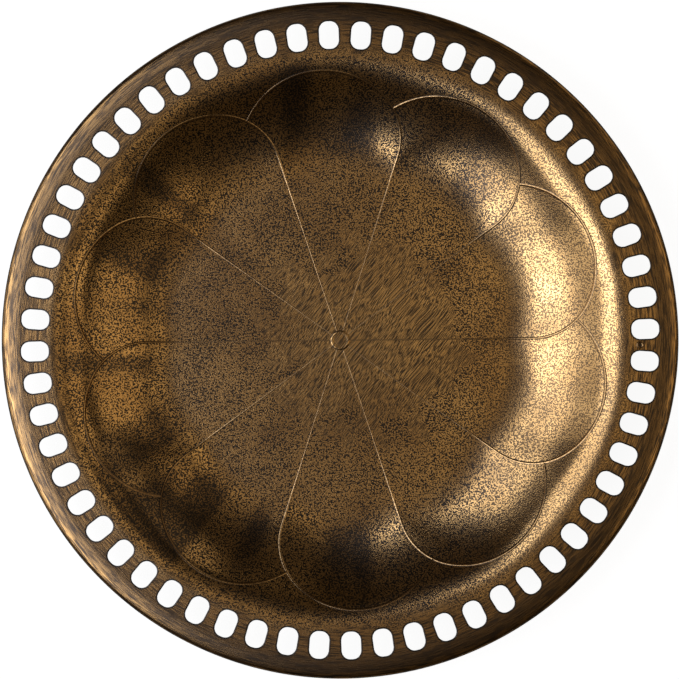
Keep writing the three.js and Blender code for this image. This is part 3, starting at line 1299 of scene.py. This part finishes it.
@dataclass(frozen=True)
class Studio:
    """Pale floor, soft lights, dim surroundings and the camera above the tray.

    Attributes:
        lights: The soft boxes.
        floor_size, floor_drop: Side of the floor, and how far it lies under the pads.
        floor_white: Brightness of the floor to the camera before any light falls on it.
        floor_grey: Colour of the floor that the tray sees.
        surroundings, room_tint: Brightness and colour of the room that the tray sees.
        lens, clip_end: Focal length in millimetres, and how far the camera sees.
        margin: Width of the picture over the tray's diameter.
        aside, roll: Distance of the camera from the tray's axis, and its turn in degrees.
    """

    lights: tuple[SoftLight, ...] = (
        SoftLight("upper_left", 160, 57, 1.3, 0.82, 1.6, (0.92, 0.97, 1.08)),
        SoftLight("lower_left", 206, 57, 1.3, 0.68, 2.3, (0.92, 0.97, 1.08)),
        SoftLight("low_left", 183, 26, 1.5, 1.5, 0.75, (0.96, 0.96, 0.96)),
        SoftLight("overhead", 0, 89.9, 1.5, 1.2, 0.085, (1.0, 0.78, 0.44)),
        SoftLight("upper_right", 5, 79, 1.5, 0.34, 0.4, (1.0, 0.82, 0.52)),
        SoftLight("right_fill", 0, 46, 1.5, 1.1, 0.5, (1.0, 0.8, 0.5)),
        SoftLight("far_right", 45, 15, 1.6, 1.0, 0.3, (1.0, 0.85, 0.62)),
    )
    floor_size: float = 8.0
    floor_drop: float = 0.05 * MM
    floor_white: float = 0.93
    floor_grey: float = 0.25
    surroundings: float = 0.035
    room_tint: Colour = (1.0, 0.72, 0.36, 1)
    lens: float = 200.0
    clip_end: float = 50.0
    margin: float = 1.0015
    aside: tuple[float, float] = (-0.3 * MM, 0.4 * MM)
    roll: float = -0.6

    def floor(self) -> None:
        """Adds the floor: white to the camera, with soft shadows, and grey to the tray."""
        half = self.floor_size / 2
        mesh = bpy.data.meshes.new("floor")
        corners = [(-half, -half), (half, -half), (half, half), (-half, half)]
        mesh.from_pydata([(x, y, -self.floor_drop) for x, y in corners], [], [(0, 1, 2, 3)])
        made = bpy.data.objects.new("floor", mesh)
        bpy.context.scene.collection.objects.link(made)
        material, graph = new_material("floor_white")
        camera = graph.add("LightPath", {}).outputs["Is Camera Ray"]
        graph.principled({
            "Base Color": (self.floor_grey,) * 3 + (1,),
            "Roughness": 1.0,
            "Emission Color": (1, 1, 1, 1),
            "Emission Strength": graph.times(camera, self.floor_white),
        })
        mesh.materials.append(material)

    def world(self) -> None:
        """Sets the room: white to the camera and dim to the tray."""
        world = bpy.data.worlds.new("room")
        bpy.context.scene.world = world
        world.use_nodes = True
        graph = Graph(world.node_tree)
        camera = graph.add("LightPath", {}).outputs["Is Camera Ray"]
        strength = graph.between(camera, self.surroundings, 1.0)
        colour = graph.blend(camera, self.room_tint, (1, 1, 1, 1))
        background = graph.add("Background", {"Color": colour, "Strength": strength})
        graph.add("OutputWorld", {"Surface": background.outputs[0]})

    def camera(self, shape: TrayShape) -> None:
        """Hangs the camera straight above the tray so that the rim fills the picture.

        Args:
            shape: The tray's shape.
        """
        data = bpy.data.cameras.new("camera")
        data.lens = self.lens
        data.clip_end = self.clip_end
        camera = bpy.data.objects.new("camera", data)
        width = 2 * shape.outer * self.margin
        camera.location = (*self.aside, shape.top + width * data.lens / data.sensor_width)
        camera.rotation_euler = (0, 0, math.radians(self.roll))
        bpy.context.scene.collection.objects.link(camera)
        bpy.context.scene.camera = camera

    def build(self, shape: TrayShape) -> None:
        """Sets up the whole studio.

        Args:
            shape: The tray's shape.
        """
        self.floor()
        self.world()
        for light in self.lights:
            light.build()
        self.camera(shape)
        bpy.context.scene.view_settings.view_transform = "Standard"


# ---- Build ----


@dataclass(frozen=True)
class Piece:
    """A finished object with what it stands for.

    Attributes:
        made, node: The object, and the CAD node that it stands for.
        slot, material: Name of a material slot, which is not used, and the material.
    """

    made: Object
    node: str
    slot: str
    material: Material

    def place(self) -> None:
        """Dresses the object and ties it to the frame."""
        self.made.data.materials.clear()
        self.made.data.materials.append(self.material)
        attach(self.made, ROOT)
        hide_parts(self.node)
        LOG.info("%s: %d faces, stands for %s", self.made.name, len(self.made.data.polygons), self.node)


def main() -> None:
    """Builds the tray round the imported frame."""
    logging.basicConfig(level=logging.INFO, format="%(name)s: %(message)s")
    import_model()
    shape = TrayShape.from_frame()
    effects = Effects.build()
    brass = AgedBrass("antique_brass").build(effects)
    bead_finish = AgedBrass("bead_brass", bright=(0.72, 0.45, 0.19, 1), relief=0.006 * MM, grain=0.5)
    bead_brass = bead_finish.build(effects)
    rivet_brass = AgedBrass("rivet_brass", relief=0.02 * MM).build(effects)
    wire_brass = AgedBrass("wire_brass", bright=(0.2, 0.12, 0.05, 1), roughness=0.5).build(effects)
    felt = Felt("felt").build(effects)

    Piece(TraySheet(shape).build(), "tray_body", "antique_brass", brass).place()
    Piece(PetalBeads(shape).build(), "tray_body", "antique_brass", bead_brass).place()
    Piece(PunchMark(shape).build(), "tray_body", "antique_brass", brass).place()
    Piece(CentreRivet(shape).build(), "centre_rivet", "rivet_brass", rivet_brass).place()
    washer = RoundedDisc("washer", "rivet_washer", hole=2.2 * MM, upper_round=0.15 * MM,
                         lower_round=0.15 * MM, lift=0.25 * MM)
    Piece(washer.build(), "rivet_washer", "rivet_brass", rivet_brass).place()
    Piece(RimWire().build(), "rim_wire", "wire_brass", wire_brass).place()
    for number in range(1, 5):
        node = f"felt_pad_{number}"
        pad = RoundedDisc(f"pad_{number}", node, hole=0.0, upper_round=0.3 * MM, lower_round=0.6 * MM,
                          lift=0.28 * MM)
        Piece(pad.build(), node, "felt", felt).place()
    Studio().build(shape)


if __name__ == "__main__":
    main()
